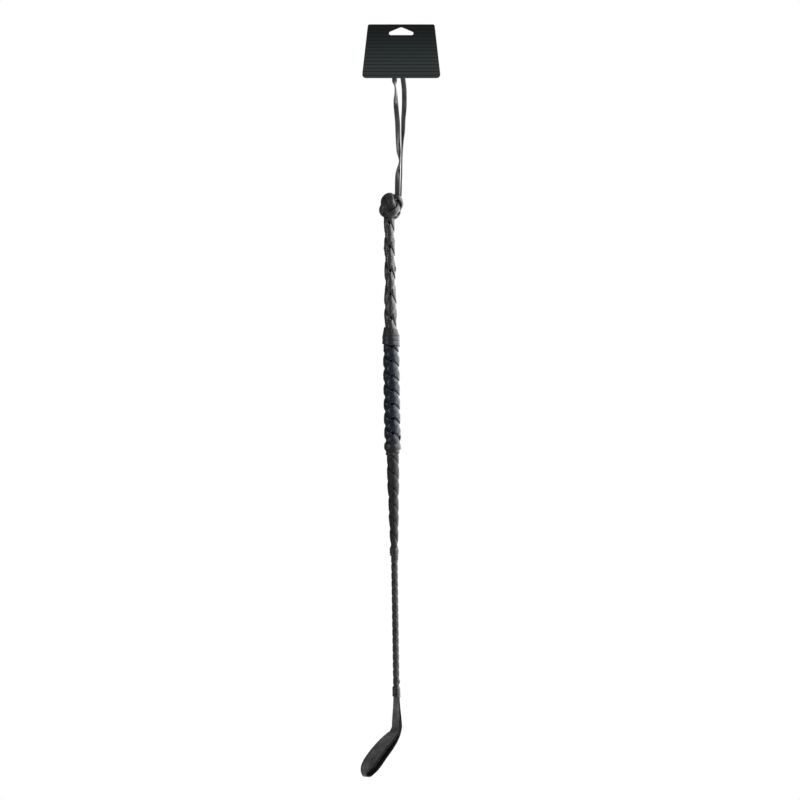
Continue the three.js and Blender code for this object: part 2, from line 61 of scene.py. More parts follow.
# Cross-sections of the strips, from one edge to the middle: place across, share of the thickness, and an edge
# mark, which is rubbed edges on most strips and painted shade on the keeper's
LACE_SECTION = [(-1, 0.15, 1), (-0.96, 0.7, 0.7), (-0.82, 0.96, 0.2), (-0.4, 1.06, 0), (0, 1.1, 0)]
THONG_SECTION = [(-1, 0.1, 1), (-0.97, 0.6, 0.8), (-0.86, 0.9, 0.35), (-0.45, 1, 0), (0, 1, 0)]
TAIL_SECTION = [(-1, 0.3, 1), (-0.8, 0.9, 0.4), (0, 1.1, 0)]
WINDING_SECTION = [(-1, 0.2, 1), (-0.95, 0.75, 0.7), (-0.75, 0.98, 0.2), (0, 1.12, 0)]
KNOT_SECTION = [(-1, 0.15, 1), (-0.93, 0.62, 0.7), (-0.72, 0.9, 0.3), (-0.35, 1.05, 0), (0, 1.1, 0)]
# The keeper's cut edges are marked for near-black painted shade.
KEEPER_SECTION = [(-1, 0.3, 1), (-0.985, 0.8, 1), (-0.93, 1, 0.1), (-0.7, 1, 0), (-0.35, 1, 0), (0, 1, 0)]

# Wrist lace, as in the CAD model: x, y, z and its twist in degrees
LACE_WIDTH = 5.2
LACE_THICKNESS = 1.5
LACE_ROUTE = [
    (-4.1, -0.6, -167.2, 0), (-4, -0.6, -158.5, 5), (-3.8, -0.6, -151, 25), (-3.1, -0.5, -145, 50),
    (-2.3, -0.3, -140.5, 75), (-1.6, 0, -136, 85), (-2, 0, -131, 70), (-2.7, 0, -125, 40),
    (-3.2, 0, -117, 35), (-3.5, -0.1, -107, 15), (-3.9, -0.2, -95, 0), (-4.7, -0.2, -86, 0),
    (-5.3, -0.1, -79, 5), (-5.7, 0, -72.5, 30), (-5.5, 0, -66, 60), (-5.9, 0, -58.5, 78),
    (-6.6, 0, -54.5, 60), (-7, 0, -50.8, 4), (-7, 0, -43, 0), (-7, 0, -36, 0),
    (-5.77, 0, -33.03, 0), (-2.8, 0, -31.8, 0), (0.17, 0, -33.03, 0), (1.4, 0, -36, 0),
    (1.4, 0, -46, 0), (2.3, 0, -53, 0), (3.1, 0.1, -61, 0), (3.3, 0.2, -72, 0),
    (3, 0.3, -82, 10), (2.3, 0.3, -92, 35), (2, 0.3, -104, 45), (1.4, 0.3, -114, 70),
    (0.9, 0.3, -125, 85), (0.6, 0.4, -137, 90), (0.4, 0.4, -148, 88), (0, 0.4, -158, 86),
    (-0.2, 0.4, -167.2, 84),
]
# Where both ends run on into the knot
LACE_TUCK = [(-4.5, -0.6, -175.5, 0), (-4.2, -0.6, -171.5, 0)]
LACE_TUCK_BACK = [(-0.5, 0.2, -172, 84), (-1.7, 0, -177.5, 80)]
LACE_STEPS = 6

# Core rod, as in the CAD model: its ends' stations and radii
ROD_TOP, ROD_TIP = (176, 1.8), (721, 1.2)

# Plaits, as in the CAD model: start, end, turn, thickness and lift, whose rows are the distance from
# the start and the stand-off from the rod. The laces drawn here are thinner and lie closer. They have
# their own thickness, lace, a crown where they cross over, and cover a share of their lane.
THONGS_EACH_WAY = 2
LANE = 1 / THONGS_EACH_WAY
PLAITS = {
    "handle": {
        "start": 188.8, "end": 317, "turn": 50, "thickness": 1.1, "lace": 1.1, "crown": 0.45, "cover": 0.8,
        "lift": [(0, 0.8), (83, 1.1), (95, 2.2), (108, 2.2), (115, 1.6), (120, 1.6), (128, 2.4)],
    },
    "grip": {
        "start": 318, "end": 437, "turn": 30, "thickness": 1.6, "lace": 1.3, "crown": 0.5, "cover": 0.82,
        "lift": [(0, 2.1), (13, 2.2), (20, 3), (104, 3.1), (119, 2.3)],
    },
    "mid": {
        "start": 438, "end": 546, "turn": 33, "thickness": 0.9, "lace": 0.65, "crown": 0.25, "cover": 0.88,
        "lift": [(0, 2), (14, 2.4), (38, 2.3), (50, 1.4), (70, 1.4), (78, 0.8), (88, 0.7), (98, 0.1)],
    },
    "lower": {
        "start": 547, "end": 690, "turn": 17, "thickness": 0.75, "lace": 0.45, "crown": 0.1, "cover": 0.9,
        "lift": [(0, 0)],
    },
}
PLAIT_GAP = 1
LACE_CLEARANCE = 0.15
STEPS_PER_CROSSING = 8
OVER_SHARE = 0.62  # of a lane, where a thong runs level over or under the other hand's
UNDER_WIDTH = 0.96
SWELL_SIZE, SWELL_RATE = 0.05, 3
SWAY_SIZE, SWAY_RATE = 0.05, 2.3
CROWN_SIZE, CROWN_RATE = 0.4, 5
END_EASE = 0.6  # half turns over which a thong's end turns square to the crop

# Windings over the plaits' ends: the plaits, the reach up and down and the wall are as in the CAD
# model, and the lace's width and its turns are as drawn here
WINDINGS = {
    "grip_top_tie": {"above": "handle", "below": "grip", "up": 10, "down": 14, "wall": 1.2,
                     "width": 7.5, "turns": 3.4},
    "grip_end_tie": {"above": "grip", "below": "mid", "up": 8, "down": 6, "wall": 0.9,
                     "width": 5.6, "turns": 2.7},
    "mid_end_tie": {"above": "mid", "below": "lower", "up": 8, "down": 4, "wall": 0.5,
                    "width": 3.6, "turns": 3.4},
    "tip_whipping": {"above": "lower", "below": None, "up": 6, "down": 6, "wall": 0.45,
                     "width": 2.4, "turns": 5.2},
}
WINDING_THICKNESS = 1.1
WINDING_STEPS = 28  # in a turn
WINDING_EASE = 5  # steps over which an end widens and comes up
WINDING_START = 0.6
WINDING_DRIFT, WINDING_DRIFT_RATE = 0.25, 20
WINDING_LAP = 0.35
WINDING_TUCK = 1.2
NARROW, WIDEN = 0.55, 0.45  # a lace's width at its end, and how much it gains from there

# Cut ends of lace: the plait they lie on, station, angle round it in degrees, length, width, added rise
TAILS = {
    "handle_tail": ("handle", 222, 186, 9, 4, 0.9),
    "handle_tail_low": ("handle", 243, -6, 10, 4.5, 1.3),
    "grip_tail": ("grip", 420, -8, 9, 5.5, 0.9),
    "mid_tail": ("lower", 549, 8, 5, 3.4, 0.7),
    "shaft_tail": ("lower", 677, -4, 6, 3.2, 0.6),
}
TAIL_THICKNESS = 1.5
TAIL_SUNK = 1.5
TAIL_RISE = 0.75
TAIL_STEPS = 8
TAIL_RUN = 0.95  # share of the hump's wave that a tail covers

# Pommel knot
KNOT_RADIUS = 12.8
KNOT_HALF_HEIGHT = 17
KNOT_SHIFT = 2.3
KNOT_TILT = math.radians(16)
KNOT_PLACE = CROP @ Matrix.Translation((KNOT_SHIFT * MM, 0, 0)) @ Matrix.Rotation(KNOT_TILT, 4, "Y")
KNOT_LEADS = 3
KNOT_BIGHTS = 4
KNOT_START = 0.5
KNOT_LACE_WIDTH = 7.6
KNOT_LACE_THICKNESS = 2.5
KNOT_WAVE = 1.6
KNOT_LATITUDE = math.radians(50)
KNOT_STEPS = 240
FILLING_DEPTH = 3.1
FILLING_SHIFT = 1.2
FILLING_TOP, FILLING_BOTTOM = 84, -45  # latitudes in degrees
FILLING_STEPS = 15
FILLING_SIDES = 36
# The filling's inner wall, round the handle plait and the core: radius and station
FILLING_INSIDE = [(5.95, 190.6), (5.95, 188.6), (7.6, 188.5), (7.6, 174.2)]

# Keeper, in millimetres from the elbow, as in the CAD model apart from a rounder tip
KEEPER_YAW = math.radians(-45)
KEEPER_BEND = math.radians(50)
KEEPER_LEATHER = 1.9
KEEPER_LENGTH = 66
KEEPER_DROOP = 3.4
KEEPER_DROOP_START = 32
KEEPER_FOLD_RADIUS = 3.7
KEEPER_FOLD_CENTRE = KEEPER_LENGTH - KEEPER_FOLD_RADIUS
# Half widths of the loop, down from the elbow
KEEPER_PLAN = [
    (0, 6.2), (3, 6.6), (7, 8), (15, 9.8), (24, 10.6), (48, 10.8), (53, 10.3), (57, 9.2), (60.5, 7.4),
    (62.5, 5.9), (64, 4.4), (65.1, 3.1),
]
# Half the thickness of the loop's two leaves together
KEEPER_SWELL = [(0, 2.05), (2, 2.05), (9, 2.7), (20, 3.5), (32, 4.1), (46, 4.2), (60, 3.7)]
# Up the root from the elbow: height, half width, half thickness, how far the edges curl in
ROOT_TABLE = [
    (0, 6.2, 2.05, 0.2), (7, 5.8, 2.45, 0.7), (14, 5.2, 3.1, 1.8), (23, 4.3, 3.4, 2.6),
    (32, 3.65, 3.35, 3), (40, 3.35, 3.3, 3),
]
ROOT_HEIGHT = 40
ELBOW_REACH = 3.5  # the strip's curve at the elbow, up and down
ROOT_STEPS, LOOP_STEPS, FOLD_STEPS = 17, 21, 12
STRIP_STEPS = 2

# Camera: the height and middle of what it sees and its distance in metres, its sensor in millimetres
VIEW_HEIGHT = 0.837
VIEW_CENTRE = Vector((-0.0013, 0, -0.3855))
CAMERA_DISTANCE = 5.0
SENSOR = 36

STRIPE_PITCH = 3.66

# Light: the way to the bright side, lamps' places, sizes and powers, and the floor, in metres
BRIGHT_SIDE = Vector((0.86, 0.5, 0.15)).normalized()
BRIGHT_SIDE_LIGHT = 5
DARK_SIDE_LIGHT = 0.24
GLOW_START, GLOW_END = 0.3, 0.95  # how closely a way has to point to the bright side
LAMPS = {"key": ((1.5, -1.0, 0.2), 0.5, 26), "fill": ((-1.7, -1.1, -0.2), 0.35, 9)}
LAMP_AIM = (0, 0, -0.4)
FLOOR_HALF, FLOOR_LEVEL = 0.3, -0.87


def read_table(table, place, column=1):
    """Straight-line reading of rows that start with a place, held at both ends."""
    if place <= table[0][0]:
        return table[0][column]
    for low, high in zip(table, table[1:]):
        if place <= high[0]:
            share = (place - low[0]) / (high[0] - low[0])
            return low[column] + share * (high[column] - low[column])
    return table[-1][column]


def smooth(share):
    share = min(1, max(0, share))
    return share * share * (3 - 2 * share)


def catmull(points, steps):
    """Evenly stepped Catmull-Rom curve through rows of numbers."""
    padded = [points[0]] + list(points) + [points[-1]]
    curve = []
    for a, b, c, d in zip(padded, padded[1:], padded[2:], padded[3:]):
        for step in range(steps):
            t = step / steps
            curve.append(tuple(
                0.5 * (2 * q + (r - p) * t + (2 * p - 5 * q + 4 * r - s) * t * t
                       + (3 * q - p - 3 * r + s) * t ** 3)
                for p, q, r, s in zip(a, b, c, d)
            ))
    curve.append(tuple(points[-1]))
    return curve


def wobble(seed):
    """A slow, smooth, seeded wave between about -1 and 1."""
    source = random.Random(seed)
    waves = [(source.uniform(0.5, 1.3), source.uniform(0, TURN), rate) for rate in (0.7, 1.7, 3.1)]
    total = sum(size for size, _, _ in waves)
    return lambda place: sum(size * math.sin(rate * place + phase) for size, phase, rate in waves) / total


def both_sides(half_section):
    """Both sides of a cross-section that is given from one edge to its middle."""
    return half_section + [(-across, share, wear_and_painted_shade) for across, share, wear_and_painted_shade in reversed(half_section[:-1])]


def strip_ring(half_section, point_at):
    """Ring of points round a strip: along its upper face, then back along its lower one."""
    section = both_sides(half_section)
    upper = [point_at(across, share) for across, share, _ in section]
    lower = [point_at(across, -share) for across, share, _ in reversed(section)]
    return upper + lower


# Each ring point's edge mark: rubbed edges, and on the keeper painted shade.
def face_wear_and_painted_shade(half_section):
    return [wear_and_painted_shade for _, _, wear_and_painted_shade in both_sides(half_section)]


def neighbours(rows, place):
    return rows[max(place - 1, 0)], rows[min(place + 1, len(rows) - 1)]


def skin(name, rings, material, closed=False, wear_and_painted_shade=None, turn_over=False):
    """Mesh object through rings of points; its list of edge marks holds each ring point's own, from 0 to 1:
    rubbed edges on most pieces, painted shade on the keeper's cut edges and inner face.
    """
    count = len(rings[0])
    rows = len(rings)
    faces = []
    for row in range(rows if closed else rows - 1):
        after = (row + 1) % rows
        for side in range(count):
            next_side = (side + 1) % count
            near, far = row * count, after * count
            faces.append((near + side, near + next_side, far + next_side, far + side))
    if not closed:
        faces.append(tuple(reversed(range(count))))
        faces.append(tuple(range((rows - 1) * count, rows * count)))
    if turn_over:
        faces = [tuple(reversed(face)) for face in faces]
    mesh = bpy.data.meshes.new(name)
    mesh.from_pydata([tuple(point) for ring in rings for point in ring], [], faces)
    mesh.polygons.foreach_set("use_smooth", [len(face) == 4 for face in faces])
    # The edge attribute carries rubbed cut edges, and on the keeper painted shade.
    edge = mesh.attributes.new("edge", "FLOAT", "POINT")
    edge.data.foreach_set("value", (wear_and_painted_shade or [0] * count) * rows)
    mesh.materials.append(material)
    mesh.update()
    piece = bpy.data.objects.new(name, mesh)
    bpy.context.scene.collection.objects.link(piece)
    return piece


def crop_point(x, y, station):
    """World place of a point in the crop's own frame, in millimetres."""
    return CROP @ Vector((x * MM, y * MM, (KNOT_STATION - station) * MM))


def round_point(radius, angle, station):
    return crop_point(radius * math.cos(angle), radius * math.sin(angle), station)


def plait_outer(plait, station):
    """Outer radius of a plait: the rod, the stand-off and two thongs, with their gaps."""
    share = (station - ROD_TOP[0]) / (ROD_TIP[0] - ROD_TOP[0])
    rod = ROD_TOP[1] + share * (ROD_TIP[1] - ROD_TOP[1])
    lift = read_table(plait["lift"], station - plait["start"])
    return rod + lift + 2 * plait["thickness"] + 2 * CLEARANCE


# ---------------------------------------------------------------- camera

def add_camera():
    data = bpy.data.cameras.new("camera")
    data.sensor_width = SENSOR
    data.lens = SENSOR * CAMERA_DISTANCE / VIEW_HEIGHT
    data.clip_end = 50
    camera = bpy.data.objects.new("camera", data)
    camera.location = VIEW_CENTRE + Vector((0, -CAMERA_DISTANCE, 0))
    camera.rotation_euler = (math.pi / 2, 0, 0)
    bpy.context.scene.collection.objects.link(camera)
    bpy.context.scene.camera = camera


# ---------------------------------------------------------------- materials

def nodes_of(name):
    material = bpy.data.materials.new(name)
    material.use_nodes = True
    tree = material.node_tree
    return material, tree, tree.nodes["Principled BSDF"]


def add_node(tree, kind, inputs=None, **settings):
    node = tree.nodes.new(kind)
    for key, value in settings.items():
        setattr(node, key, value)
    for key, value in (inputs or {}).items():
        if hasattr(value, "links"):
            tree.links.new(value, node.inputs[key])
        else:
            node.inputs[key].default_value = value
    return node


def calculate(tree, operation, *values):
    return add_node(tree, "ShaderNodeMath", dict(enumerate(values)), operation=operation).outputs[0]


def ramp(tree, factor, low, high, start=0.0, end=1.0):
    """Turns a value into another between low and high."""
    node = add_node(tree, "ShaderNodeMapRange", {
        "Value": factor, "From Min": start, "From Max": end, "To Min": low, "To Max": high})
    return node.outputs["Result"]


def mix(tree, factor, low, high):
    node = add_node(tree, "ShaderNodeMix", {"Factor": factor}, data_type="RGBA")
    for socket, value in ((node.inputs[6], low), (node.inputs[7], high)):
        if hasattr(value, "links"):
            tree.links.new(value, socket)
        else:
            socket.default_value = value
    return node.outputs[2]


def grey(value, blue=0.0):
    return (value, value * (1 + 0.3 * blue), value * (1 + blue), 1)


def noise(tree, place, scale, detail=3.0, roughness=0.55):
    node = add_node(tree, "ShaderNodeTexNoise", {
        "Vector": place, "Scale": scale, "Detail": detail, "Roughness": roughness})
    return node.outputs["Fac"]


def leather(name, shade, blue=0.0, rough=(0.38, 0.6), grain=1100, depth=0.00012, wear_and_painted_shade=0.5, worn_edge_and_painted_shade_tone=None,
            edge_span=(0.85, 1.4), shine=0.45):
    """Grained leather: pebbles, fine creases, patchy shine and marked cut edges in another tone, pale and
    rubbed on most pieces; on the keeper the marked cut edges and inner face go near-black as painted shade.
    """
    material, tree, shader = nodes_of(name)
    place = add_node(tree, "ShaderNodeTexCoord").outputs["Object"]
    patches = noise(tree, place, 90, 4)
    fine = noise(tree, place, 2600, 2)
    pebbles = add_node(tree, "ShaderNodeTexVoronoi", {"Vector": place, "Scale": grain}, feature="SMOOTH_F1")
    pebble = pebbles.outputs["Distance"]
    creases = add_node(tree, "ShaderNodeTexVoronoi", {"Vector": place, "Scale": grain * 0.3},
                       feature="DISTANCE_TO_EDGE").outputs["Distance"]
    edge = add_node(tree, "ShaderNodeAttribute", attribute_name="edge").outputs["Fac"]
    base = mix(tree, ramp(tree, patches, 0, 1, 0.35, 0.65), grey(shade * 0.6, blue), grey(shade * 1.35, blue))
    ragged = calculate(tree, "ADD", fine, edge)
    # Marked points turn to the edge tone: pale rubbed cut edges on most leathers, near-black painted shade on
    # the keeper.
    wear_and_painted_shade_mask = ramp(tree, ragged, 0, wear_and_painted_shade, *edge_span)
    colour = mix(tree, wear_and_painted_shade_mask, base, grey(worn_edge_and_painted_shade_tone or shade * 2.4 + 0.01, blue * 0.5))
    tree.links.new(colour, shader.inputs["Base Color"])
    polish = ramp(tree, patches, rough[0], rough[1], 0.3, 0.7)
    tree.links.new(calculate(tree, "MAXIMUM", polish, wear_and_painted_shade_mask), shader.inputs["Roughness"])
    shader.inputs["Specular IOR Level"].default_value = shine
    crease = ramp(tree, creases, 0, 1, 0.0, 0.12)
    height = calculate(tree, "MULTIPLY_ADD", pebble, -0.6, crease)
    height = calculate(tree, "MULTIPLY_ADD", fine, 0.35, height)
    bump = add_node(tree, "ShaderNodeBump", {"Height": height, "Strength": 0.7, "Distance": depth})
    tree.links.new(bump.outputs["Normal"], shader.inputs["Normal"])
    return material


def card_material():
    """Coated black card with fine plain stripes, a pale cut edge and a faint paper tooth."""
    material, tree, shader = nodes_of("card_stock")
    place = add_node(tree, "ShaderNodeTexCoord").outputs["Object"]
    parts = add_node(tree, "ShaderNodeSeparateXYZ", {"Vector": place})
    normal = add_node(tree, "ShaderNodeNewGeometry").outputs["Normal"]
    facing = add_node(tree, "ShaderNodeSeparateXYZ", {"Vector": normal})
    level = calculate(tree, "MULTIPLY", parts.outputs["Z"], 1 / (STRIPE_PITCH * MM))
    phase = calculate(tree, "FRACT", level)
    away = calculate(tree, "ABSOLUTE", calculate(tree, "SUBTRACT", phase, 0.5))
    stripe = ramp(tree, away, 1, 0, 0.05, 0.16)
    drift = ramp(tree, parts.outputs["Z"], 1, 0, -0.035, 0.002)
    ground = mix(tree, drift, (0.0055, 0.007, 0.0085, 1), (0.03, 0.037, 0.038, 1))
    line = mix(tree, drift, (0.0008, 0.001, 0.0012, 1), (0.004, 0.005, 0.006, 1))
    fibre = noise(tree, place, 1500, 5)
    face = mix(tree, stripe, ground, line)
    face = mix(tree, ramp(tree, fibre, 0, 0.25, 0.5, 0.8), face, (0.034, 0.039, 0.041, 1))
    side = calculate(tree, "ABSOLUTE", facing.outputs["Y"])
    colour = mix(tree, ramp(tree, side, 0.7, 0, 0.1, 0.4), face, (0.12, 0.12, 0.117, 1))
    tree.links.new(colour, shader.inputs["Base Color"])
    tree.links.new(ramp(tree, fibre, 0.42, 0.6), shader.inputs["Roughness"])
    shader.inputs["Specular IOR Level"].default_value = 0.18
    bump = add_node(tree, "ShaderNodeBump", {"Height": fibre, "Strength": 0.25, "Distance": 0.00003})
    tree.links.new(bump.outputs["Normal"], shader.inputs["Normal"])
    return material


def plain_material(name, low, high, scale, rough, stretch=(1, 1, 1)):
    """Two-tone streaked or speckled finish for the hidden pieces."""
    material, tree, shader = nodes_of(name)
    place = add_node(tree, "ShaderNodeTexCoord").outputs["Object"]
    moved = add_node(tree, "ShaderNodeMapping", {"Vector": place, "Scale": stretch}).outputs["Vector"]
    fleck = noise(tree, moved, scale, 5)
    tree.links.new(mix(tree, ramp(tree, fleck, 0, 1, 0.3, 0.7), low, high), shader.inputs["Base Color"])
    tree.links.new(ramp(tree, fleck, rough - 0.1, rough + 0.1), shader.inputs["Roughness"])
    bump = add_node(tree, "ShaderNodeBump", {"Height": fleck, "Strength": 0.4, "Distance": 0.0001})
    tree.links.new(bump.outputs["Normal"], shader.inputs["Normal"])
    return material


def give_material(node_name, material):
    """Puts a finish on a CAD node that stays."""
    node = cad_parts[node_name]
    for slot in node.material_slots:
        slot.material = material


# ---------------------------------------------------------------- wrist lace

def lace_ring(centre, along, twist):
    flat = along.cross(Vector((0, 1, 0))).normalized()
    flat.rotate(Matrix.Rotation(twist, 3, along))
    thick = along.cross(flat)
    wide, high = LACE_WIDTH / 2 * MM, LACE_THICKNESS / 2 * MM
    return strip_ring(LACE_SECTION, lambda across, rise: centre + flat * across * wide + thick * rise * high)


def add_wrist_lace(material):
    """The lace from the knot, up round the pin and back down to the knot."""
    samples = catmull(LACE_TUCK + LACE_ROUTE + LACE_TUCK_BACK, LACE_STEPS)
    centres = [Vector(sample[:3]) * MM for sample in samples]
    rings = []
    for place, (centre, sample) in enumerate(zip(centres, samples)):
        behind, ahead = neighbours(centres, place)
        rings.append(lace_ring(centre, (ahead - behind).normalized(), math.radians(sample[3])))
    lace = skin("wrist_lace", rings, material, wear_and_painted_shade=face_wear_and_painted_shade(LACE_SECTION) * 2, turn_over=True)
    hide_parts("wrist_loop")
    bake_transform(lace)


# ---------------------------------------------------------------- plaits

def over_under(along):
    """+1 at even crossings and -1 at odd ones, with a straight slope in between."""
    level = OVER_SHARE * LANE / 2
    crossing = round(along / LANE)
    past = max(0, abs(along - crossing * LANE) - level)
    share = past / (LANE / 2 - level)
    side = 1 if crossing % 2 == 0 else -1
    return side * (1 - share)


def thong_ring(plait, hand, order, along, to_end, sway, swell):
    """Ring of a thong at a place along it, in half turns. The middle of its lane is order lanes round."""
    middle = order * LANE
    side = hand * (1 if order % 2 == 0 else -1)
    wave = (plait["lace"] + LACE_CLEARANCE) / 2
    narrowed = 1.0 if side * over_under(along) > 0 else UNDER_WIDTH
    half = plait["cover"] * LANE / 2 * (1 + SWELL_SIZE * swell(along * SWELL_RATE)) * narrowed
    shift = SWAY_SIZE * LANE * sway(along * SWAY_RATE)
    square = 1 - smooth(to_end / END_EASE)
    crown_swell = 1 + CROWN_SIZE * swell(along * CROWN_RATE)

    def point_at(across, rise):
        own = middle + shift * (1 - square) + across * half
        place = along + square * hand * (own - middle)
        station = (place - hand * own) / 2 * plait["turn"]
        angle = (own + hand * place) / 2 * TURN
        lift = side * over_under(place)
        centre = plait_outer(plait, station) - plait["lace"] / 2 - wave
        crown = plait["crown"] * (1 - across * across) * max(0, lift) * crown_swell
        return round_point(centre + wave * lift + rise * plait["lace"] / 2 + crown, angle, station)

    return strip_ring(THONG_SECTION, point_at)


def add_thong(plait_name, number, hand, order, material):
    """A lace that winds one way round the plait, over and under those that wind the other way."""
    plait = PLAITS[plait_name]
    first = 2 * plait["start"] / plait["turn"] + hand * order * LANE
    last = 2 * plait["end"] / plait["turn"] + hand * order * LANE
    steps = math.ceil((last - first) / LANE * STEPS_PER_CROSSING)
    sway = wobble(f"{plait_name}{number}")
    swell = wobble(f"{plait_name}{number}swell")
    rings = []
    for step in range(steps + 1):
        along = first + (last - first) * step / steps
        rings.append(thong_ring(plait, hand, order, along, min(along - first, last - along), sway, swell))
    wear_and_painted_shade = face_wear_and_painted_shade(THONG_SECTION) * 2
    piece = skin(f"{plait_name}_strand_{number}", rings, material, wear_and_painted_shade=wear_and_painted_shade, turn_over=hand < 0)
    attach(piece, "crop")
    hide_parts(f"{plait_name}_thong_{number}")


def add_plait(plait_name, material):
    number = 0
    for hand in (1, -1):
        for order in range(THONGS_EACH_WAY):
            number += 1
            add_thong(plait_name, number, hand, order, material)


def add_tail(name, material):
    """A cut end of lace that comes out of the plait in a low hump and is tucked in again."""
    plait_name, first, degrees, length, width, added_rise = TAILS[name]
    rings = []
    for step in range(TAIL_STEPS + 1):
        share = step / TAIL_STEPS
        station = first + length * share
        hump = math.sin(math.pi * min(1, share * TAIL_RUN))
        middle = plait_outer(PLAITS[plait_name], station) - TAIL_SUNK + (TAIL_RISE + added_rise) * hump
        half = width / 2 * (NARROW + WIDEN * hump)
        rings.append(strip_ring(TAIL_SECTION, lambda across, rise: round_point(
            middle + rise * TAIL_THICKNESS / 2, math.radians(degrees) + across * half / middle, station)))
    piece = skin(name, rings, material, wear_and_painted_shade=face_wear_and_painted_shade(TAIL_SECTION) * 2)
    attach(piece, "crop")


# ---------------------------------------------------------------- windings

def winding_path(shape):
    """Stations and outer radii down a winding, as in the CAD model."""
    above, below = PLAITS[shape["above"]], PLAITS.get(shape["below"])
    end, after = above["end"], above["end"] + PLAIT_GAP
    upper_stations = (end - shape["up"], end - shape["up"] / 2, end)
    path = [(station, plait_outer(above, station)) for station in upper_stations]
    for station in (after, after + shape["down"] / 2, after + shape["down"]):
        root = read_table(ROOT_TABLE, ELBOW_STATION - station)
        path.append((station, plait_outer(below, station) if below else root))
    return [(station, radius + CLEARANCE + shape["wall"]) for station, radius in path]


def winding_ring(shape, path, middle, angle, out):
    """Ring of a wound lace; out goes from 0 at an end, narrow and tucked in, to 1."""
    def point_at(across, rise):
        station = middle + across * shape["width"] / 2 * (NARROW + WIDEN * out)
        outer = read_table(path, station)
        tuck = WINDING_LAP * across * WINDING_THICKNESS - (1 - out) * WINDING_TUCK
        radius = outer - WINDING_THICKNESS / 2 + rise * WINDING_THICKNESS / 2 + tuck
        return round_point(radius, angle, station)

    return strip_ring(WINDING_SECTION, point_at)


def add_winding(name, material):
    """A flat lace wound in close turns over the end of a plait."""
    shape = WINDINGS[name]
    path = winding_path(shape)
    first, last = path[0][0] + shape["width"] / 2, path[-1][0] - shape["width"] / 2
    steps = round(shape["turns"] * WINDING_STEPS)
    drift = wobble(name)
    rings = []
    for step in range(steps + 1):
        share = step / steps
        out = min(1, min(share, 1 - share) * steps / WINDING_EASE)
        angle = share * shape["turns"] * TURN + WINDING_START
        middle = first + (last - first) * share + WINDING_DRIFT * drift(share * WINDING_DRIFT_RATE)
        rings.append(winding_ring(shape, path, middle, angle, out))
    piece = skin(name + "_lace", rings, material, wear_and_painted_shade=face_wear_and_painted_shade(WINDING_SECTION) * 2)
    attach(piece, "crop")
    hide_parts(name)


# ---------------------------------------------------------------- pommel knot

def knot_surface(longitude, latitude, lift):
    """Point on the knot's upright ball, raised by lift millimetres."""
    round_part = (KNOT_RADIUS + lift) * math.cos(latitude)
    return Vector((round_part * math.cos(longitude), round_part * math.sin(longitude),
                   (KNOT_HALF_HEIGHT + lift) * math.sin(latitude)))


def knot_crossings():
    """Where the lace meets itself, in half turns along its run. It goes over and under in turn."""
    period = KNOT_LEADS / KNOT_BIGHTS
    spots = set()
    for k in range(4 * KNOT_BIGHTS * KNOT_LEADS):
        for lead in range(1, KNOT_LEADS):
            spots.add(round((k * period + lead) % (2 * KNOT_LEADS), 6))
    return sorted(spots)


def knot_lifts():
    """How far the lace is raised at each crossing, with one more row before the first and after the last."""
    run = 2 * KNOT_LEADS
    lifts = [(spot, KNOT_WAVE * (1 if i % 2 == 0 else -1)) for i, spot in enumerate(knot_crossings())]
    return [(lifts[-1][0] - run, lifts[-1][1])] + lifts + [(lifts[0][0] + run, lifts[0][1])]


def knot_path():
    """The lace's middle line: its points with their longitudes and latitudes."""
    lifts = knot_lifts()
    base = KNOT_LACE_THICKNESS / 2 + KNOT_WAVE
    path = []
    for step in range(KNOT_STEPS):
        place = 2 * KNOT_LEADS * step / KNOT_STEPS
        low = max(row for row in lifts if row[0] <= place)
        high = min(row for row in lifts if row[0] > place)
        lift = low[1] + (high[1] - low[1]) * smooth((place - low[0]) / (high[0] - low[0]))
        longitude = math.pi * place + KNOT_START
        latitude = KNOT_LATITUDE * math.cos(math.pi * place * KNOT_BIGHTS / KNOT_LEADS)
        path.append((knot_surface(longitude, latitude, lift - base), longitude, latitude))
    return path


def knot_ring(path, step):
    centre, longitude, latitude = path[step]
    along = (path[(step + 1) % KNOT_STEPS][0] - path[step - 1][0]).normalized()
    level = math.cos(latitude)
    outward = Vector((level * math.cos(longitude), level * math.sin(longitude), math.sin(latitude)))
    sideways = along.cross(outward).normalized()
    outward = sideways.cross(along)
    wide, high = KNOT_LACE_WIDTH / 2, KNOT_LACE_THICKNESS / 2

    def point_at(across, rise):
        bend = (across * wide) ** 2 / (2 * KNOT_RADIUS)
        return KNOT_PLACE @ ((centre + sideways * across * wide + outward * (rise * high - bend)) * MM)

    return strip_ring(KNOT_SECTION, point_at)


def add_knot(material):
    """One endless lace, woven round the top of the crop."""
    path = knot_path()
    rings = [knot_ring(path, step) for step in range(KNOT_STEPS)]
    wear_and_painted_shade = face_wear_and_painted_shade(KNOT_SECTION) * 2
    piece = skin("knot_lace", rings, material, closed=True, wear_and_painted_shade=wear_and_painted_shade, turn_over=True)
    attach(piece, "crop")
    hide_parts("pommel_knot")


